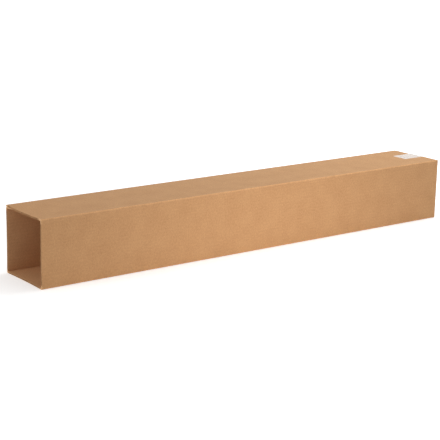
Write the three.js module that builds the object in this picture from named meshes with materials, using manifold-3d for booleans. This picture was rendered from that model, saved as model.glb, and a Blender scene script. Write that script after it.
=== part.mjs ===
// The outer half of a telescoping carton: a long square sleeve of single-wall corrugated board, lying on its
// side. One end is open, cut square across the flutes, and the other is shut by four flaps under one strip of
// clear tape. Millimetres: +X runs from the open end to the closed end, Y across, +Z up.
import * as THREE from "three";
import { mergeVertices } from "three/addons/utils/BufferGeometryUtils.js";
import Module from "manifold-3d";

// The box
const inside_width = 152.4;
const inside_height = 152.4;
const inside_length = 1219.2;
const fold_radius = 4; // outside of every creased fold
const crease_radius = 0.8; // inside of every creased fold
const fold_steps = 8; // straight steps in a quarter turn

// The board and its flutes
const board = 4;
const liner = 0.4;
const medium = 0.35; // the wavy sheet, measured across the board
const flute_pitch = 7.8;
const flute_depth = 18; // how far each flute stands open behind the cut end
const flute_steps = 6; // straight steps in one wave
const glued_share = 0.09; // share of a wave at each crest that is glued flat to the liner
const crushed_width = 4; // board beside each fold whose flutes are pressed shut

// The glued joint that makes the blank into a sleeve
const tab_width = 35;
const tab_taper = 11; // how much each end of the tab is cut back across its width
const tab_setback = 2; // from the sleeve's ends to the tab's root
const joint_inset = 1; // the top panel's cut edge stops this far short of the far face
const glue_gap = 0.3; // height left open at the bottom of the groove beside the joint

// The flaps
const inner_flap_gap = 0.6; // from the side edges of the inner flaps to the side panels
const outer_flap_inset = 0.8; // from the ends of the outer flaps to the top and bottom faces
const slot_overcut = 1.5; // how far a slot runs past the start of the fold
const flap_gap = 0.3; // between the inner and the outer pair
const seam_gap = 1.6; // between the two edges that meet

// The tape
const tape_width = 48;
const tape_film = 0.15;
const tape_seat = 0.05; // adhesive between the film and the board
const tape_lap = 70; // from the closed end along the top and bottom panels

// Worked out from those
const width = inside_width + 2 * board;
const height = inside_height + 2 * board;
const inner_flap_end = inside_length + board; // outside face of the inner pair of flaps
const length = inner_flap_end + flap_gap + board; // outside face of the outer pair
const slot_root = inner_flap_end - fold_radius - slot_overcut;
const joint_top = height - board; // the far panel ends one board lower, under the top panel
const level_flap_width = inside_width - 2 * inner_flap_gap;

const wasm = await Module();
wasm.setup();

// The frame of a section drawn in Y and Z that is drawn out along X.
const along_x = new THREE.Matrix4().makeBasis(
  new THREE.Vector3(0, 1, 0),
  new THREE.Vector3(0, 0, 1),
  new THREE.Vector3(1, 0, 0),
);

// The frame of a section drawn in X and Z that is drawn out towards -Y.
const along_y = new THREE.Matrix4().makeBasis(
  new THREE.Vector3(1, 0, 0),
  new THREE.Vector3(0, 0, 1),
  new THREE.Vector3(0, -1, 0),
);

// The frame of a section drawn in X and Y that is drawn out along Z.
const along_z = new THREE.Matrix4();

function prism(outline, depth, frame, start) {
  const shape = outline instanceof THREE.Shape ? outline : new THREE.Shape(outline);
  const geometry = new THREE.ExtrudeGeometry(shape, { depth, bevelEnabled: false, curveSegments: 1 });
  return geometry.translate(0, 0, start).applyMatrix4(frame);
}

function solid(geometry) {
  geometry.deleteAttribute("normal");
  geometry.deleteAttribute("uv");
  const merged = mergeVertices(geometry);
  const mesh = new wasm.Mesh({
    numProp: 3,
    vertProperties: merged.attributes.position.array,
    triVerts: new Uint32Array(merged.index.array),
  });
  return new wasm.Manifold(mesh);
}

function geometry_of(made) {
  const mesh = made.getMesh();
  const geometry = new THREE.BufferGeometry();
  geometry.setAttribute("position", new THREE.BufferAttribute(mesh.vertProperties, 3));
  geometry.setIndex(new THREE.BufferAttribute(mesh.triVerts, 1));
  geometry.computeVertexNormals();
  return geometry;
}

// Points on a round from one angle to another, in quarter turns from the first axis to the second.
function arc(centre_u, centre_v, radius, from, to) {
  const steps = Math.max(1, Math.round(Math.abs(to - from) * fold_steps));
  const points = [];
  for (let i = 0; i <= steps; i++) {
    const angle = (Math.PI / 2) * (from + ((to - from) * i) / steps);
    points.push(
      new THREE.Vector2(centre_u + radius * Math.cos(angle), centre_v + radius * Math.sin(angle)),
    );
  }
  return points;
}

// The sleeve's section in Y and Z. Three corners are folds. The fourth, at the top of the far panel, is the
// glued joint: the far panel folds in under the top panel, whose cut edge lies over it.
function sleeve_section() {
  const side = width / 2;
  const low = fold_radius;
  const tab_bend = Math.asin(1 - glue_gap / fold_radius) / (Math.PI / 2);
  const bend = arc(side - fold_radius, joint_top - fold_radius, fold_radius, 0, tab_bend);
  const groove_end = bend[bend.length - 1].x;
  const outline = new THREE.Shape([
    ...arc(side - fold_radius, low, fold_radius, -1, 0),
    ...bend,
    new THREE.Vector2(groove_end, joint_top),
    new THREE.Vector2(side - joint_inset, joint_top),
    new THREE.Vector2(side - joint_inset, height),
    ...arc(fold_radius - side, height - fold_radius, fold_radius, 1, 2),
    ...arc(fold_radius - side, low, fold_radius, 2, 3),
  ]);
  const inner = side - board - crease_radius;
  const floor = board + crease_radius;
  const roof = height - board - crease_radius;
  outline.holes.push(
    new THREE.Path([
      ...arc(inner, floor, crease_radius, -1, 0),
      new THREE.Vector2(side - board, joint_top),
      ...arc(-inner, roof, crease_radius, 1, 2),
      ...arc(-inner, floor, crease_radius, 2, 3),
    ]),
  );
  return outline;
}

// The tab under the top panel, in X and Y, with its ends cut back.
function tab_outline() {
  const root = width / 2 - board;
  const edge = root - tab_width;
  const start = tab_setback;
  const end = slot_root - tab_setback;
  return [
    new THREE.Vector2(start, root),
    new THREE.Vector2(start + tab_taper, edge),
    new THREE.Vector2(end - tab_taper, edge),
    new THREE.Vector2(end, root),
  ];
}

// A panel's last stretch from "start" and the flap creased over from it. The first coordinate is X, and the
// second is across the panel, measured inwards from its outside face, so "place" turns it into Y or Z.
function flap_outline(start, end, reach, place) {
  const turned_in = board + crease_radius;
  const outline = [
    new THREE.Vector2(start, 0),
    ...arc(end - fold_radius, fold_radius, fold_radius, -1, 0),
    new THREE.Vector2(end, reach),
    new THREE.Vector2(end - board, reach),
    ...arc(end - turned_in, turned_in, crease_radius, 0, -1),
    new THREE.Vector2(start, board),
  ];
  return outline.map((p) => new THREE.Vector2(p.x, place(p.y)));
}

// One open space of a flute: "side" is 1 beside the outside liner and -1 beside the inside one. Drawn with
// the wave along the first axis, centred on it, and the board's middle at zero.
function flute_space(side) {
  const clear = board / 2 - liner;
  const swing = clear - medium / 2;
  const points = [];
  for (let i = 0; i <= flute_steps; i++) {
    const share = glued_share + (1 - 2 * glued_share) * (i / flute_steps);
    const wave = swing * Math.cos(2 * Math.PI * share) + medium / 2;
    points.push(new THREE.Vector2((share - 0.5) * flute_pitch, side * wave));
  }
  const half = (0.5 - glued_share) * flute_pitch;
  points.push(new THREE.Vector2(half, side * clear), new THREE.Vector2(-half, side * clear));
  return points;
}

// Every open flute space round the cut end of one panel. "place" turns the distance along the panel from
// its middle and the distance out from the board's middle into Y and Z.
function panel_flutes(panel_width, place) {
  const fluted = panel_width - 2 * (fold_radius + crushed_width);
  const count = Math.floor(fluted / flute_pitch);
  const spaces = [];
  for (let i = 0; i < 2 * count - 1; i++) {
    const side = i % 2 ? -1 : 1;
    const along = ((i - (count - 1)) * flute_pitch) / 2;
    const outline = flute_space(side).map((p) => place(along + p.x, p.y));
    spaces.push(solid(prism(outline, 2 * flute_depth, along_x, -flute_depth)));
  }
  return spaces;
}

function outer_box() {
  const tab_floor = height - 2 * board;
  const solids = [
    solid(prism(sleeve_section(), slot_root, along_x, 0)),
    solid(prism(tab_outline(), board, along_z, tab_floor)),
  ];
  const side_reach = width / 2 - seam_gap / 2;
  const level_reach = height / 2 - seam_gap / 2;
  const seated = slot_root - 2 * fold_radius; // where a flap's last stretch starts inside its panel
  for (const side of [-1, 1]) {
    // Past the slots the outer flap is wider than its panel's flat stretch between the long folds.
    const panel_top = side > 0 ? joint_top : height;
    const across = (inwards) => side * (width / 2 - inwards);
    for (const [start, inset] of [[seated, fold_radius], [slot_root, outer_flap_inset]]) {
      const side_flap = flap_outline(start, length, side_reach, across);
      solids.push(solid(prism(side_flap, panel_top - 2 * inset, along_z, inset)));
    }

    const level = (inwards) => height / 2 + side * (height / 2 - inwards);
    const level_flap = flap_outline(seated, inner_flap_end, level_reach, level);
    solids.push(solid(prism(level_flap, level_flap_width, along_y, -level_flap_width / 2)));
  }
  const closed = wasm.Manifold.union(solids);

  const middle = (width - board) / 2;
  const centre = height / 2;
  const lift = (height - board) / 2;
  const flutes = [
    ...panel_flutes(width, (along, out) => new THREE.Vector2(along, centre + lift + out)),
    ...panel_flutes(width, (along, out) => new THREE.Vector2(along, centre - lift - out)),
    ...panel_flutes(height, (along, out) => new THREE.Vector2(middle + out, centre + along)),
    ...panel_flutes(height, (along, out) => new THREE.Vector2(-middle - out, centre + along)),
  ];
  return geometry_of(closed.subtract(wasm.Manifold.union(flutes)));
}

// The closed outline between a line of points and the same line moved to its left by a thickness.
function thickened(path, thickness) {
  const moved = path.map((point, i) => {
    const before = point.clone().sub(path[Math.max(0, i - 1)]);
    const after = path[Math.min(path.length - 1, i + 1)].clone().sub(point);
    const from = (before.length() ? before : after).clone().normalize();
    const to = (after.length() ? after : before).clone().normalize();
    const bisector = from.clone().add(to).normalize();
    const normal = new THREE.Vector2(-bisector.y, bisector.x);
    return point.clone().addScaledVector(normal, thickness / bisector.dot(to));
  });
  return [...path, ...moved.reverse()];
}

// The tape's path in X and Z: along the top panel, over the inner flap's fold, across to the edge of the
// outer flaps, down their outside face, and back under the bottom panel.
function tape_path() {
  const bend = fold_radius + tape_seat;
  const bend_x = inner_flap_end - fold_radius;
  const bend_z = height - fold_radius;
  const edge_x = length + tape_seat;
  const edge_z = height - outer_flap_inset + tape_seat;
  const edge = new THREE.Vector2(edge_x - bend_x, edge_z - bend_z);
  const leaves = (Math.atan2(edge.y, edge.x) + Math.acos(bend / edge.length())) / (Math.PI / 2);
  const upper = [
    new THREE.Vector2(length - tape_lap, height + tape_seat),
    ...arc(bend_x, bend_z, bend, 1, leaves),
    new THREE.Vector2(edge_x, edge_z),
  ];
  const lower = upper.map((p) => new THREE.Vector2(p.x, height - p.y)).reverse();
  return [...upper, ...lower];
}

function sealing_tape() {
  const outline = thickened(tape_path(), tape_film);
  return geometry_of(solid(prism(outline, tape_width, along_y, -tape_width / 2)));
}

const kraft = new THREE.MeshStandardMaterial({ color: 0xc99b6b, roughness: 0.85, metalness: 0 });
const clear_film = new THREE.MeshStandardMaterial({
  color: 0xeadfcf,
  roughness: 0.15,
  metalness: 0,
  transparent: true,
  opacity: 0.45,
});

function piece(name, geometry, material) {
  const mesh = new THREE.Mesh(geometry, material);
  mesh.name = name;
  return mesh;
}

const telescoping_box = new THREE.Group();
telescoping_box.add(piece("outer_box", outer_box(), kraft));
telescoping_box.add(piece("sealing_tape", sealing_tape(), clear_film));

// The origin is under the middle of the box, where it lies.
const tape_stand = tape_seat + tape_film;
telescoping_box.position.set(-(length + tape_stand) / 2, 0, tape_stand);

export default telescoping_box;
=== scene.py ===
# The outer half of a telescoping carton, dressed for its picture: brown kraft board folded up from its
# blank, flutes standing open at the cut end, and a strip of clear tape over the closed end.
import itertools
import math

import bpy
from mathutils import Euler, Matrix, Vector, noise


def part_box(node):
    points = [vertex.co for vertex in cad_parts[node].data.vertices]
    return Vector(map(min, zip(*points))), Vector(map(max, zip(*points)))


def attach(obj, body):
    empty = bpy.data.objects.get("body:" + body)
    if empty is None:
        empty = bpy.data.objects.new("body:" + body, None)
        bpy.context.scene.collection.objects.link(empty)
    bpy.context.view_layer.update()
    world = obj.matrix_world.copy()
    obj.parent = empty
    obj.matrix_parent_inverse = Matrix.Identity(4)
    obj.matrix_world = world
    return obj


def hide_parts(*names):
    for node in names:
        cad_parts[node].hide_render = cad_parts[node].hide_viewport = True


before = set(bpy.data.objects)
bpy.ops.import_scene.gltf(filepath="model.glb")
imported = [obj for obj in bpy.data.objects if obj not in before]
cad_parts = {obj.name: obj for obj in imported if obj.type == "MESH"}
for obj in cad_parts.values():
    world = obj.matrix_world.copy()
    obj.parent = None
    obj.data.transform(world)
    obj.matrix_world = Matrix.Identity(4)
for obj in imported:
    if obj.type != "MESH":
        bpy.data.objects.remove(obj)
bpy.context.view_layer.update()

# Sizes in millimetres, as in the part's source. The outside sizes come from the frame.
MM = 0.001
BOARD = 4.0
LINER = 0.4
MEDIUM = 0.35
FLUTE_PITCH = 7.8
FLUTE_DEPTH = 18.0
CRUSHED_WIDTH = 4.0
FOLD_RADIUS = 4.0
TAB_WIDTH = 35.0
TAB_TAPER = 11.0
TAB_SETBACK = 2.0
JOINT_INSET = 1.0
INNER_FLAP_GAP = 0.6
OUTER_FLAP_INSET = 0.8
SLOT_OVERCUT = 1.5
FLAP_GAP = 0.3
SEAM_GAP = 1.6
TAPE_SEAT = 0.05
TAPE_FILM = 0.15

box_low, box_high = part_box("outer_box")
tape_low, tape_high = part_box("sealing_tape")
LENGTH = (box_high.x - box_low.x) / MM
WIDTH = (box_high.y - box_low.y) / MM
HEIGHT = (box_high.z - box_low.z) / MM
TAPE_WIDTH = (tape_high.y - tape_low.y) / MM
TAPE_LAP = (box_high.x - tape_low.x) / MM
HALF_WIDTH = WIDTH / 2
JOINT_HEIGHT = HEIGHT - BOARD
INNER_FLAP_END = LENGTH - BOARD - FLAP_GAP
SLOT_ROOT = INNER_FLAP_END - FOLD_RADIUS - SLOT_OVERCUT
SIDE_FLAP_WIDTH = HEIGHT - 2 * OUTER_FLAP_INSET
JOINT_FLAP_WIDTH = SIDE_FLAP_WIDTH - BOARD
LEVEL_FLAP_WIDTH = WIDTH - 2 * BOARD - 2 * INNER_FLAP_GAP

# How far the board departs from true, in millimetres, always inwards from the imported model.
PANEL_BOW = 0.7
RIM_BOW = 0.9
END_DISH = 0.8
RIM_RAGGED = 0.25
MEDIUM_SETBACK = 0.15

# Over what distances that changes, in millimetres, and what tells one random change from another.
END_REACH = 60.0
SIDE_WANDER, SIDE_SEED = 210.0, 4.3
LEVEL_WANDER, LEVEL_SEED = 170.0, 9.1
SLOW_RAG = 40.0
QUICK_RAG = 2.5
QUICK_PLANE = 7
MEDIUM_SEED = 3.5

# How finely the board is drawn. HAIR is shorter than any step along the blank.
PANEL_STEP = FLUTE_PITCH / 3
LENGTH_STEP = 13.5
FLAP_STEP = 6.0
FOLD_STEPS = 10
ROOT_STEPS = 2
MEDIUM_STEPS = 12
CUT_ROWS = [0, 1.2, 3.5, 7, 12]
MEDIUM_ROWS = [0.0, 2.0, 8.0, FLUTE_DEPTH]
HAIR = 0.01
SHARP_ANGLE = 35

# The tape's toothed ends and wrinkles, in millimetres, and how finely it is drawn.
TAPE_TOOTH = 1.1
TAPE_COLUMNS = 48
TAPE_LAP_STEP = 2.5
TAPE_DROP_STEP = 3.0
TAPE_BEND_STEPS = 6
TAPE_SPAN_STEPS = 4
WRINKLE_LENGTH = 14
WRINKLE_WIDTH = 40
WRINKLE_SEED = 2.2
WRINKLE_FLOOR = 0.15
WRINKLE_GAIN = 1.6
WRINKLE_SHARE = 0.2


# The blank, folded.

class Panel:
    """A flat stretch of the blank's width. Its start and direction are in Y and Z."""

    def __init__(self, start, direction, length, flap=None):
        self.start = start
        self.direction = direction
        self.outward = (direction[1], -direction[0])
        self.length = length
        self.flap = flap

    def at(self, along, inwards):
        return tuple(self.start[i] + self.direction[i] * along - self.outward[i] * inwards for i in (0, 1))


class Fold:
    """A quarter turn between two panels, round a centre in Y and Z, from a number of quarter turns."""

    def __init__(self, centre, quarter):
        self.centre = centre
        self.quarter = quarter
        self.length = FOLD_RADIUS * math.pi / 2
        self.flap = None

    def at(self, along, inwards):
        angle = (self.quarter + along / self.length) * math.pi / 2
        radius = FOLD_RADIUS - inwards
        return (self.centre[0] + radius * math.cos(angle), self.centre[1] + radius * math.sin(angle))


class Flap:
    """The flap at a panel's end: the X of its outer face, its width, and its reach over the end."""

    def __init__(self, end, width, reach, panel_middle):
        self.low = panel_middle - width / 2
        self.high = self.low + width
        self.end = end
        self.reach = reach
        self.turn = end - FOLD_RADIUS
        self.arc = FOLD_RADIUS * math.pi / 2

    def at(self, run, inwards):
        """X, and how far in from the panel's face, of a point that lies "run" past the slot's root."""
        x = SLOT_ROOT + run
        if x <= self.turn:
            return x, inwards
        radius = FOLD_RADIUS - inwards
        past = x - self.turn
        if past < self.arc:
            angle = past / FOLD_RADIUS
            return self.turn + radius * math.sin(angle), FOLD_RADIUS - radius * math.cos(angle)
        return self.end - inwards, FOLD_RADIUS + past - self.arc

    def runs(self):
        """Steps along the panel's last stretch, round the fold and down the flap."""
        straight = self.turn - SLOT_ROOT
        flat = self.reach - FOLD_RADIUS
        flat_steps = round(flat / FLAP_STEP)
        steps = [straight * i / ROOT_STEPS for i in range(ROOT_STEPS)]
        steps += [straight + self.arc * i / FOLD_STEPS for i in range(FOLD_STEPS)]
        steps += [straight + self.arc + flat * i / flat_steps for i in range(flat_steps + 1)]
        return steps


def blank():
    """The stretches of the sleeve in order: top, near, bottom and far panel, then the tab under the top."""
    side = HALF_WIDTH
    bend = FOLD_RADIUS
    side_reach = HALF_WIDTH - SEAM_GAP / 2
    level_reach = HEIGHT / 2 - SEAM_GAP / 2
    level = Flap(INNER_FLAP_END, LEVEL_FLAP_WIDTH, level_reach, HALF_WIDTH - bend)
    top = Flap(INNER_FLAP_END, LEVEL_FLAP_WIDTH, level_reach, HALF_WIDTH - JOINT_INSET)
    near = Flap(LENGTH, SIDE_FLAP_WIDTH, side_reach, HEIGHT / 2 - bend)
    far = Flap(LENGTH, JOINT_FLAP_WIDTH, side_reach, JOINT_HEIGHT / 2 - bend)
    return [
        Panel((side - JOINT_INSET, HEIGHT), (-1, 0), 2 * side - JOINT_INSET - bend, top),
        Fold((bend - side, HEIGHT - bend), 1),
        Panel((-side, HEIGHT - bend), (0, -1), HEIGHT - 2 * bend, near),
        Fold((bend - side, bend), 2),
        Panel((bend - side, 0), (1, 0), 2 * side - 2 * bend, level),
        Fold((side - bend, bend), 3),
        Panel((side, bend), (0, 1), JOINT_HEIGHT - 2 * bend, far),
        Fold((side - bend, JOINT_HEIGHT - bend), 0),
        Panel((side - bend, JOINT_HEIGHT), (-1, 0), BOARD + TAB_WIDTH - bend),
    ]


def spread(low, high, step):
    """Even steps from low up to, but not with, high."""
    count = max(1, round((high - low) / step))
    return [low + (high - low) * i / count for i in range(count)]


def fluted_span(panel):
    """The part of a panel whose flutes stand open, as a start and a number of flutes."""
    room = panel.length - 2 * CRUSHED_WIDTH
    count = int(room / FLUTE_PITCH)
    return (panel.length - count * FLUTE_PITCH) / 2, count


def columns(stretches):
    """Each line of points along the box: its stretch, its place there, and its place on the blank."""
    found = []
    passed = 0.0
    for stretch in stretches:
        if isinstance(stretch, Fold):
            marks = spread(0, stretch.length, stretch.length / FOLD_STEPS)
        elif stretch.flap:
            start, count = fluted_span(stretch)
            low, high = stretch.flap.low, stretch.flap.high
            ends = [0, low, start, start + count * FLUTE_PITCH, high, stretch.length]
            ends = sorted(end for end in ends if 0 <= end <= stretch.length)
            marks = [mark for a, b in zip(ends, ends[1:]) for mark in spread(a, b, PANEL_STEP)]
        else:
            marks = spread(0, stretch.length, PANEL_STEP)
        found += [(stretch, mark, passed + mark) for mark in marks]
        passed += stretch.length
    last = stretches[-1]
    return found + [(last, last.length, passed)]


def wander(x, distance, seed):
    """The share of its bow that a panel has at a place along the box. It drifts slowly about 0.6."""
    return 0.6 + 0.4 * noise.noise(Vector((x / distance, seed, 0)))


def settle(x, y, z):
    """Where a point of the true box lies on this one, whose panels have sunk in a little."""
    across = y / HALF_WIDTH
    up = 2 * z / HEIGHT - 1
    mid_width = max(0, 1 - across * across)
    mid_height = max(0, 1 - up * up)
    rim = math.exp(-x / END_REACH)
    end = math.exp(-(LENGTH - x) / END_REACH)
    side_share = wander(x, SIDE_WANDER, SIDE_SEED) * (1 - end)
    level_share = wander(x, LEVEL_WANDER, LEVEL_SEED) * (1 - end)
    side_bow = (PANEL_BOW * side_share + RIM_BOW * rim) * mid_height
    level_bow = (PANEL_BOW * level_share + RIM_BOW * rim) * mid_width
    dish = END_DISH * end * mid_width * mid_height
    return x - dish, y - side_bow * across, z - level_bow * up


def to_frame(x, y, z):
    """From millimetres along, across and above the box's open end to metres in the frame."""
    return Vector((box_low.x + x * MM, y * MM, box_low.z + z * MM))


def ragged(place, seed):
    """How far the cut end stands back at a place on the blank."""
    slow = noise.noise(Vector((place / SLOW_RAG, seed, 0)))
    quick = noise.noise(Vector((place / QUICK_RAG, seed, QUICK_PLANE)))
    return RIM_RAGGED * (0.5 + 0.35 * slow + 0.3 * quick)


class Sheet:
    """Gathers the faces of one mesh, with each face's material and each corner's place on the blank."""

    def __init__(self):
        self.points = []
        self.faces = []
        self.materials = []
        self.places = []
        self.folds = []
        self.known = {}

    def point(self, where, place, fold=0.0):
        """The number of the vertex at this place on the true box, made if there is none yet."""
        key = tuple(round(c, 4) for c in where)
        if key in self.known:
            return self.known[key]
        self.known[key] = len(self.points)
        self.points.append(to_frame(*settle(*where)))
        self.places.append((place[0] * MM, place[1] * MM))
        self.folds.append(fold)
        return len(self.points) - 1

    def face(self, corners, material):
        self.faces.append(corners)
        self.materials.append(material)

    def build(self, name, materials):
        mesh = bpy.data.meshes.new(name)
        mesh.from_pydata(self.points, [], self.faces)
        for material in materials:
            mesh.materials.append(material)
        mesh.polygons.foreach_set("material_index", self.materials)
        uv = mesh.uv_layers.new(name="blank")
        for loop in mesh.loops:
            uv.data[loop.index].uv = self.places[loop.vertex_index]
        # The fold ridges' share, by which the liner's colour is lightened: partly wear, partly a painted
        # highlight.
        wear_and_highlight_layer = mesh.attributes.new("fold", "FLOAT", "POINT")
        wear_and_highlight_layer.data.foreach_set("value", self.folds)
        mesh.shade_smooth()
        mesh.set_sharp_from_angle(angle=math.radians(SHARP_ANGLE))
        piece = bpy.data.objects.new(name, mesh)
        bpy.context.scene.collection.objects.link(piece)
        return piece


# The board's materials by number, and its layers: outside liner, core and inside liner.
OUTSIDE, INSIDE, CUT = 0, 1, 2
DEPTHS = (0.0, LINER, BOARD - LINER, BOARD)
LAYERS = len(DEPTHS) - 1
CORE = 1

# The six sides of a cell: the way to the neighbour there, and the side's corners. Each is given as
# steps across the blank, along the box and into the board.
CELL_SIDES = (
    ((0, 0, -1), ((0, 0, 0), (1, 0, 0), (1, 1, 0), (0, 1, 0))),
    ((0, 0, 1), ((0, 0, 1), (0, 1, 1), (1, 1, 1), (1, 0, 1))),
    ((0, -1, 0), ((0, 0, 0), (0, 0, 1), (1, 0, 1), (1, 0, 0))),
    ((0, 1, 0), ((0, 1, 0), (1, 1, 0), (1, 1, 1), (0, 1, 1))),
    ((-1, 0, 0), ((0, 0, 0), (0, 1, 0), (0, 1, 1), (0, 0, 1))),
    ((1, 0, 0), ((1, 0, 0), (1, 0, 1), (1, 1, 1), (1, 1, 0))),
)


def fold_wear_and_highlight(stretch, along):
    """1 on the ridge of a long fold and 0 away from it: the share by which the colour there is lightened,
    partly for wear and partly as a painted highlight.
    """
    if isinstance(stretch, Fold):
        return math.sin(math.pi * along / stretch.length)
    return 0.0


def add_cells(sheet, width, length, vertex, filled):
    """The faces round a lattice of cells, three deep, wherever no filled cell lies beside a filled one."""
    for c, r, k in itertools.product(range(width), range(length), range(LAYERS)):
        if not filled(c, r, k):
            continue
        for (dc, dr, dk), corners in CELL_SIDES:
            if filled(c + dc, r + dr, k + dk):
                continue
            skin = CUT
            if k + dk < 0:
                skin = OUTSIDE
            if k + dk == LAYERS:
                skin = INSIDE
            sheet.face(tuple(vertex(c + i, r + j, k + m) for i, j, m in corners), skin)


def rooted(stretch, along):
    """True where a flap grows out of its panel's flat stretch."""
    low = max(0, stretch.flap.low)
    high = min(stretch.length, stretch.flap.high)
    return low - HAIR <= along < high - HAIR


def board_mesh():
    """The blank as a grid of cells, with its flaps and the medium between its liners."""
    sheet = Sheet()
    stretches = blank()
    lines = columns(stretches)
    rows = CUT_ROWS + spread(FLUTE_DEPTH, SLOT_ROOT, LENGTH_STEP) + [SLOT_ROOT]
    root = len(rows) - 1
    tab = stretches[-1]
    tab_fold = stretches[-2]
    spans = {id(stretch): fluted_span(stretch) for stretch in stretches if stretch.flap}

    def vertex(column, row, level):
        stretch, along, passed = lines[column]
        x = rows[row]
        if row == 0:
            x += ragged(passed, level)
        if stretch in (tab, tab_fold):
            past = along if stretch is tab else 0
            turned = 1 if stretch is tab else along / stretch.length
            cut = TAB_SETBACK * turned + TAB_TAPER * past / tab.length
            x = cut + x * (SLOT_ROOT - 2 * cut) / SLOT_ROOT
        y, z = stretch.at(along, DEPTHS[level])
        return sheet.point((x, y, z), (passed, rows[row]), fold_wear_and_highlight(stretch, along))

    def filled(column, row, layer):
        if not 0 <= column < len(lines) - 1 or not 0 <= layer < LAYERS or row < 0:
            return False
        stretch, along, _ = lines[column]
        if row >= root:
            return bool(stretch.flap) and rooted(stretch, along)
        if layer == CORE and rows[row] < FLUTE_DEPTH and stretch.flap:
            start, count = spans[id(stretch)]
            return not start - HAIR <= along < start + count * FLUTE_PITCH - HAIR
        return True

    add_cells(sheet, len(lines) - 1, root, vertex, filled)
    for stretch in stretches:
        if stretch.flap:
            add_flap(sheet, stretch, [line for line in lines if line[0] is stretch])
    add_medium(sheet, stretches)
    return sheet


def add_flap(sheet, stretch, lines):
    """The flap at a panel's end, on the panel's own lines and past them where it is wider."""
    flap = stretch.flap
    passed = lines[0][2] - lines[0][1]
    low = max(0, flap.low)
    high = min(stretch.length, flap.high)
    marks = [along for _, along, _ in lines if rooted(stretch, along)] + [high]
    if flap.low < low:
        marks = spread(flap.low, low, PANEL_STEP) + marks
    if flap.high > high:
        marks = marks[:-1] + spread(high, flap.high, PANEL_STEP) + [flap.high]
    runs = flap.runs()

    def vertex(column, row, level):
        along = marks[column]
        x, inwards = flap.at(runs[row], DEPTHS[level])
        y, z = stretch.at(along, inwards)
        place = (passed + along, SLOT_ROOT + runs[row])
        return sheet.point((x, y, z), place)

    def filled(column, row, layer):
        if not 0 <= column < len(marks) - 1 or not 0 <= layer < LAYERS:
            return False
        if row < 0:
            return rooted(stretch, marks[column])
        return row < len(runs) - 1

    add_cells(sheet, len(marks) - 1, len(runs) - 1, vertex, filled)


def add_medium(sheet, stretches):
    """The wavy sheet between the liners, where it can be seen at the cut end."""
    swing = (BOARD - 2 * LINER - MEDIUM) / 2
    passed = 0.0
    for stretch in stretches:
        if stretch.flap:
            start, count = fluted_span(stretch)
            made = []
            for i in range(count * MEDIUM_STEPS + 1):
                along = start + i * FLUTE_PITCH / MEDIUM_STEPS
                wave = BOARD / 2 - swing * math.cos(2 * math.pi * i / MEDIUM_STEPS)
                line = []
                for row in MEDIUM_ROWS:
                    x = row if row else MEDIUM_SETBACK + ragged(passed + along, MEDIUM_SEED)
                    for half in (-MEDIUM / 2, MEDIUM / 2):
                        y, z = stretch.at(along, wave + half)
                        line.append(sheet.point((x, y, z), (passed + along, row)))
                made.append(line)
            for a, b in zip(made, made[1:]):
                for k in range(0, 2 * len(MEDIUM_ROWS) - 2, 2):
                    sheet.face((a[k], b[k], b[k + 2], a[k + 2]), CUT)
                    sheet.face((a[k + 1], a[k + 3], b[k + 3], b[k + 1]), CUT)
                sheet.face((a[0], a[1], b[1], b[0]), CUT)
        passed += stretch.length


# The tape.

def tape_route():
    """The path of the tape's sticky face, in X and Z, from its end on the top to its end below."""
    bend = FOLD_RADIUS + TAPE_SEAT
    bend_x = INNER_FLAP_END - FOLD_RADIUS
    bend_z = HEIGHT - FOLD_RADIUS
    edge_x = LENGTH + TAPE_SEAT
    edge_z = (HEIGHT + SIDE_FLAP_WIDTH) / 2 + TAPE_SEAT
    reach = math.hypot(edge_x - bend_x, edge_z - bend_z)
    leaves = math.atan2(edge_z - bend_z, edge_x - bend_x) + math.acos(bend / reach)
    start = LENGTH - TAPE_LAP
    path = [(x, HEIGHT + TAPE_SEAT) for x in spread(start, bend_x, TAPE_LAP_STEP)]
    for i in range(TAPE_BEND_STEPS + 1):
        angle = math.pi / 2 + (leaves - math.pi / 2) * i / TAPE_BEND_STEPS
        path.append((bend_x + bend * math.cos(angle), bend_z + bend * math.sin(angle)))
    left_x, left_z = path[-1]
    for i in range(1, TAPE_SPAN_STEPS):
        share = i / TAPE_SPAN_STEPS
        path.append((left_x + (edge_x - left_x) * share, left_z + (edge_z - left_z) * share))
    path += [(edge_x, z) for z in spread(edge_z, HEIGHT / 2, TAPE_DROP_STEP)]
    return path + [(edge_x, HEIGHT / 2)] + [(x, HEIGHT - z) for x, z in reversed(path)]


def wrinkle(run, across):
    """0 where the film lies flat, up to 1 where it is lifted by a faint crease or trapped air."""
    crease = noise.noise(Vector((run / WRINKLE_LENGTH, across / WRINKLE_WIDTH, WRINKLE_SEED)))
    return min(1.0, WRINKLE_GAIN * max(0.0, crease - WRINKLE_FLOOR))


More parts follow.
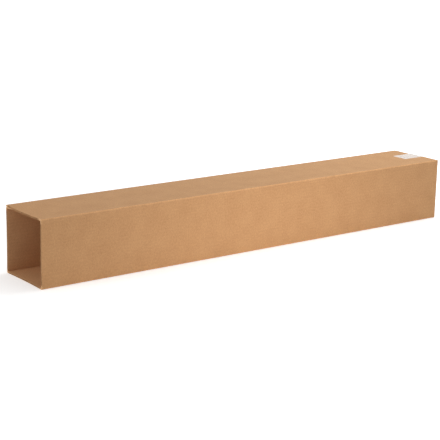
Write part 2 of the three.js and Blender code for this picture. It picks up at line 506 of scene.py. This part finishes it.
def tape_mesh():
    """The film as a strip of its own thickness, cut with teeth at both ends."""
    sheet = Sheet()
    path = tape_route()
    last = len(path) - 1
    grid = []
    run = 0.0
    for i, (x, z) in enumerate(path):
        before = path[max(0, i - 1)]
        after = path[min(last, i + 1)]
        tangent = Vector((after[0] - before[0], after[1] - before[1])).normalized()
        out = (-tangent.y, tangent.x)
        run += math.hypot(x - before[0], z - before[1])
        at_end = i in (0, last)
        line = []
        for j in range(TAPE_COLUMNS + 1):
            across = (j / TAPE_COLUMNS - 0.5) * TAPE_WIDTH
            tooth = TAPE_TOOTH * (j % 2) if at_end else 0
            toothed_x = x + tangent.x * (tooth if i == 0 else -tooth)
            film = TAPE_FILM
            if not at_end and 0 < j < TAPE_COLUMNS:
                film = TAPE_FILM * (1 - WRINKLE_SHARE + WRINKLE_SHARE * wrinkle(run, across))
            low = sheet.point((toothed_x, across, z), (run, across))
            high = sheet.point((toothed_x + out[0] * film, across, z + out[1] * film), (run, across))
            line.append((low, high))
        grid.append(line)
    for a, b in zip(grid, grid[1:]):
        for p, q, s, t in zip(a, a[1:], b, b[1:]):
            sheet.face((p[1], s[1], t[1], q[1]), 0)
            sheet.face((p[0], q[0], t[0], s[0]), 0)
        sheet.face((a[0][0], b[0][0], b[0][1], a[0][1]), 0)
        sheet.face((a[-1][0], a[-1][1], b[-1][1], b[-1][0]), 0)
    for line, turned in ((grid[0], False), (grid[-1], True)):
        for p, q in zip(line, line[1:]):
            corners = (p[0], p[1], q[1], q[0])
            sheet.face(corners[::-1] if turned else corners, 0)
    return sheet


# Materials. Most of a noise texture's values lie between NOISE_LOW and NOISE_HIGH, and a texture's
# scale is about the number of its marks in a metre of board.

NOISE_LOW, NOISE_HIGH = 0.3, 0.7
WHITE = (1, 1, 1, 1)
KRAFT_LIGHT, KRAFT_DARK = (0.64, 0.365, 0.172, 1), (0.45, 0.225, 0.093, 1)
# The inside liner's colours are lighter and redder than the outside's: partly its own tone, partly painted
# light that lifts the shaded interior.
INNER_LIGHT, INNER_DARK = (0.72, 0.42, 0.215, 1), (0.52, 0.275, 0.13, 1)
# The cut paper is lighter than the liners: partly its own tone, partly painted light that lifts the shade
# in the open flutes.
CUT_LIGHT, CUT_DARK = (0.86, 0.56, 0.31, 1), (0.50, 0.28, 0.13, 1)
FILM_LIGHT, FILM_DARK = (0.91, 0.82, 0.735, 1), (0.88, 0.785, 0.695, 1)
OUTER_RIPPLE = 0.010
INNER_RIPPLE = 0.022
# How much the fold ridges are lightened at most: partly wear, partly a painted highlight.
RUB_AND_HIGHLIGHT_GAIN = 1.25
FLECK_SHADE = 0.5


class Nodes:
    """Short names for the nodes that a material, or the world, is made of."""

    def __init__(self, owner, shader="Principled BSDF"):
        self.owner = owner
        self.owner.use_nodes = True
        self.tree = owner.node_tree
        self.shader = self.tree.nodes[shader]

    def fix(self, **values):
        """Sets the shader's values that are the same everywhere. An underscore stands for a space."""
        for name, value in values.items():
            self.shader.inputs[name.replace("_", " ")].default_value = value

    def feed(self, socket, source):
        self.link(source, self.shader.inputs[socket])

    def add(self, kind, **values):
        node = self.tree.nodes.new(kind)
        for key, value in values.items():
            setattr(node, key, value)
        return node

    def link(self, source, target):
        self.tree.links.new(source, target)

    def put(self, socket, value):
        """A fixed value or another node's output into a socket."""
        if isinstance(value, (int, float, tuple)):
            socket.default_value = value
        else:
            self.link(value, socket)

    def scaled(self, vector, scale):
        node = self.add("ShaderNodeVectorMath", operation="MULTIPLY")
        self.put(node.inputs[0], vector)
        self.put(node.inputs[1], scale)
        return node.outputs[0]

    def noise(self, vector, scale, detail, rough=0.5):
        node = self.add("ShaderNodeTexNoise")
        self.put(node.inputs["Vector"], vector)
        self.put(node.inputs["Scale"], scale)
        self.put(node.inputs["Detail"], detail)
        self.put(node.inputs["Roughness"], rough)
        return node.outputs["Fac"]

    def ranged(self, value, low, high, to_low, to_high):
        node = self.add("ShaderNodeMapRange")
        self.put(node.inputs["Value"], value)
        self.put(node.inputs["From Min"], low)
        self.put(node.inputs["From Max"], high)
        self.put(node.inputs["To Min"], to_low)
        self.put(node.inputs["To Max"], to_high)
        return node.outputs["Result"]

    def widened(self, texture, to_low, to_high):
        """A noise texture's usual values spread over another range."""
        return self.ranged(texture, NOISE_LOW, NOISE_HIGH, to_low, to_high)

    def maths(self, operation, first, second=0.0):
        node = self.add("ShaderNodeMath", operation=operation)
        self.put(node.inputs[0], first)
        self.put(node.inputs[1], second)
        return node.outputs[0]

    def mixed(self, share, first, second):
        """Two colours mixed. Inputs 6 and 7 and output 2 are the node's colour ones."""
        node = self.add("ShaderNodeMix", data_type="RGBA")
        self.put(node.inputs[0], share)
        self.put(node.inputs[6], first)
        self.put(node.inputs[7], second)
        return node.outputs[2]

    def tinted(self, colour, value):
        """The colour times a number that varies over the surface."""
        node = self.add("ShaderNodeVectorMath", operation="SCALE")
        self.put(node.inputs[0], colour)
        self.put(node.inputs["Scale"], value)
        return node.outputs[0]

    def bumped(self, height, strength, depth):
        """Relief in the shader's surface, its depth in millimetres."""
        bump = self.add("ShaderNodeBump")
        self.put(bump.inputs["Strength"], strength)
        self.put(bump.inputs["Distance"], depth * MM)
        self.put(bump.inputs["Height"], height)
        self.feed("Normal", bump.outputs["Normal"])


def kraft(name, light, dark, ripple):
    """Kraft liner: clouded formation, fine fibres, flecks, flutes showing faintly through, and fold ridges
    lightened, partly for wear and partly as a painted highlight.
    """
    n = Nodes(bpy.data.materials.new(name))
    place = n.add("ShaderNodeUVMap", uv_map="blank").outputs["UV"]
    cloud = n.noise(place, scale=22, detail=3)
    mottle = n.noise(n.scaled(place, (1.0, 1.35, 1.0)), scale=190, detail=4, rough=0.62)
    fibre = n.noise(n.scaled(place, (0.35, 1.6, 1.0)), scale=900, detail=3, rough=0.6)
    grain = n.noise(place, scale=2600, detail=2, rough=0.7)
    fleck = n.noise(n.scaled(place, (0.8, 1.3, 1.0)), scale=620, detail=1, rough=0.4)

    tone = n.maths("ADD", n.widened(cloud, -0.11, 0.11), n.widened(mottle, -0.24, 0.24))
    tone = n.maths("ADD", tone, n.widened(fibre, -0.34, 0.34))
    tone = n.maths("ADD", tone, n.widened(grain, -0.12, 0.12))
    colour = n.mixed(n.maths("ADD", tone, 0.5), dark, light)
    specks = n.ranged(fleck, 0.69, 0.76, 0.0, 0.5)
    colour = n.mixed(specks, colour, tuple(c * FLECK_SHADE for c in dark[:3]) + (1,))

    split = n.add("ShaderNodeSeparateXYZ")
    n.link(place, split.inputs[0])
    wave = n.maths("SINE", n.maths("MULTIPLY", split.outputs["X"], 2 * math.pi / (FLUTE_PITCH * MM)))
    colour = n.tinted(colour, n.ranged(wave, -1, 1, 1 - ripple, 1 + ripple))

    # Fold ridges lightened unevenly: partly wear on the crease, partly a painted highlight along the fold.
    fold = n.add("ShaderNodeAttribute", attribute_name="fold").outputs["Fac"]
    rub_and_highlight = n.maths("MULTIPLY", fold, n.ranged(mottle, 0.35, 0.6, 0.5, 1.0))
    colour = n.tinted(colour, n.ranged(rub_and_highlight, 0, 1, 1.0, RUB_AND_HIGHLIGHT_GAIN))

    n.feed("Base Color", colour)
    n.feed("Roughness", n.widened(mottle, 0.72, 0.86))
    n.fix(Specular_IOR_Level=0.35)
    height = n.maths("ADD", n.maths("MULTIPLY", wave, 0.35), n.maths("MULTIPLY", mottle, 0.45))
    height = n.maths("ADD", height, n.maths("MULTIPLY", fibre, 0.5))
    n.bumped(height, strength=0.35, depth=0.12)
    return n.owner


def cut_board():
    """The cut edges and the wavy medium: rougher, greyer paper with loose fibres, its lighter colour partly
    its own tone and partly painted light that lifts the shade in the open flutes.
    """
    n = Nodes(bpy.data.materials.new("cut_kraft"))
    where = n.add("ShaderNodeTexCoord").outputs["Object"]
    fuzz = n.noise(where, scale=1800, detail=3, rough=0.7)
    patch = n.noise(where, scale=160, detail=3)
    share = n.maths("ADD", n.widened(fuzz, -0.2, 0.6), n.widened(patch, 0.0, 0.4))
    n.feed("Base Color", n.mixed(share, CUT_DARK, CUT_LIGHT))
    n.feed("Roughness", n.widened(fuzz, 0.85, 0.98))
    n.fix(Specular_IOR_Level=0.2)
    n.bumped(fuzz, strength=0.6, depth=0.15)
    return n.owner


def film():
    """Clear packing tape: glossy film over milky adhesive, which hides more where it is seen aslant."""
    n = Nodes(bpy.data.materials.new("clear_tape_film"))
    place = n.add("ShaderNodeUVMap", uv_map="blank").outputs["UV"]
    air = n.noise(n.scaled(place, (1.0, 0.5, 1.0)), scale=70, detail=2)
    streak = n.noise(n.scaled(place, (0.12, 1.4, 1.0)), scale=130, detail=2)
    slant = n.add("ShaderNodeLayerWeight").outputs["Facing"]
    milky = n.ranged(slant, 0.1, 0.8, 0.34, 0.62)
    n.feed("Base Color", n.mixed(n.widened(streak, 0, 1), FILM_DARK, FILM_LIGHT))
    n.feed("Alpha", n.maths("ADD", milky, n.ranged(air, 0.35, 0.7, -0.03, 0.03)))
    n.feed("Roughness", n.widened(air, 0.26, 0.30))
    n.fix(Specular_IOR_Level=0.8, Coat_Weight=0.6, Coat_Roughness=0.12)
    n.bumped(n.maths("ADD", air, streak), strength=0.06, depth=0.1)
    return n.owner


# The object.

outside = kraft("kraft_outside", KRAFT_LIGHT, KRAFT_DARK, OUTER_RIPPLE)
# The inside liner, coloured lighter partly as painted light for the shaded interior.
inside = kraft("kraft_inside", INNER_LIGHT, INNER_DARK, INNER_RIPPLE)
carton = board_mesh().build("carton_board", [outside, inside, cut_board()])
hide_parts("outer_box")
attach(carton, "root")

tape = tape_mesh().build("tape_strip", [film()])
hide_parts("sealing_tape")
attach(tape, "root")


# The floor. The camera sees it as white, and whiter away from the object, and it keeps the shadow.
# Its size and the distances are in metres.

FLOOR_HALF = 30.0
FLOOR_GREY = (0.86, 0.86, 0.86, 1)
FLOOR_GLOW = 0.16
FLOOR_LIFT = 0.45
LIFT_NEAR = 0.6
LIFT_FAR = 1.6


def white_floor():
    """Pale matt paint that glows a little, and more to the camera."""
    n = Nodes(bpy.data.materials.new("floor_white"))
    n.fix(Base_Color=FLOOR_GREY, Roughness=0.9, Specular_IOR_Level=0.0, Emission_Color=WHITE)
    away = n.add("ShaderNodeVectorMath", operation="LENGTH")
    n.link(n.add("ShaderNodeTexCoord").outputs["Object"], away.inputs[0])
    lift = n.ranged(away.outputs["Value"], LIFT_NEAR, LIFT_FAR, FLOOR_LIFT, 1.0)
    seen = n.add("ShaderNodeLightPath").outputs["Is Camera Ray"]
    n.feed("Emission Strength", n.maths("MAXIMUM", n.maths("MULTIPLY", seen, lift), FLOOR_GLOW))
    return n.owner


floor_mesh = bpy.data.meshes.new("floor")
floor_corners = [(x * FLOOR_HALF, y * FLOOR_HALF, 0) for x, y in ((-1, -1), (1, -1), (1, 1), (-1, 1))]
floor_mesh.from_pydata(floor_corners, [], [(0, 1, 2, 3)])
floor_mesh.materials.append(white_floor())
floor = bpy.data.objects.new("floor", floor_mesh)
bpy.context.scene.collection.objects.link(floor)


# The light: three soft lamps, placed in metres, and a white surround that lights the object less
# than it shows.

WARM = (1.0, 0.935, 0.88)
COOL = (0.93, 0.965, 1.0)
SURROUND_LIGHT = 0.38


def soft_lamp(name, place, aim, width, height, watts, colour, spread_angle=180):
    lamp = bpy.data.lights.new(name, "AREA")
    lamp.shape = "RECTANGLE"
    lamp.size = width
    lamp.size_y = height
    lamp.energy = watts
    lamp.color = colour
    lamp.spread = math.radians(spread_angle)
    holder = bpy.data.objects.new(name, lamp)
    holder.location = place
    holder.rotation_euler = (Vector(aim) - Vector(place)).to_track_quat("-Z", "Y").to_euler()
    bpy.context.scene.collection.objects.link(holder)


soft_lamp(
    "front_softbox", place=(0.02, -1.0, 0.15), aim=(0.02, 0, 0.02),
    width=0.6, height=0.3, watts=1.52, colour=WARM, spread_angle=110,
)
soft_lamp(
    "top_softbox", place=(0.9, 0.1, 1.7), aim=(0.45, 0, 0),
    width=1.6, height=1.2, watts=22, colour=COOL,
)
soft_lamp(
    "left_softbox", place=(-2.3, 0.0, 0.8), aim=(-0.6, 0, 0.03),
    width=0.9, height=0.7, watts=12.5, colour=WARM,
)

world = bpy.data.worlds.new("studio")
bpy.context.scene.world = world
surround = Nodes(world, "Background")
rays = surround.add("ShaderNodeLightPath")
shown = surround.maths("MAXIMUM", rays.outputs["Is Camera Ray"], rays.outputs["Is Glossy Ray"])
shown = surround.maths("MAXIMUM", shown, rays.outputs["Is Transmission Ray"])
surround.feed("Strength", surround.ranged(shown, 0.0, 1.0, SURROUND_LIGHT, 1.0))
surround.fix(Color=WHITE)


# The camera, where the photograph was taken from. Its place is in metres and its angles in degrees.

CAMERA_AT = (-2.00485, -2.53919, 0.88032)
CAMERA_AZIMUTH = -37.375
CAMERA_ELEVATION = 14.270
CAMERA_ROLL = 1.296
FOCAL_LENGTH = 109.106
SENSOR_WIDTH = 36
camera_data = bpy.data.cameras.new("camera")
camera_data.lens = FOCAL_LENGTH
camera_data.sensor_width = SENSOR_WIDTH
camera = bpy.data.objects.new("camera", camera_data)
camera.location = CAMERA_AT
level = Euler((math.radians(90 - CAMERA_ELEVATION), 0, math.radians(CAMERA_AZIMUTH))).to_matrix()
rolled = Matrix.Rotation(math.radians(CAMERA_ROLL), 3, "Z")
camera.rotation_euler = (level @ rolled).to_euler()
bpy.context.scene.collection.objects.link(camera)
bpy.context.scene.camera = camera
bpy.context.scene.view_settings.view_transform = "Standard"
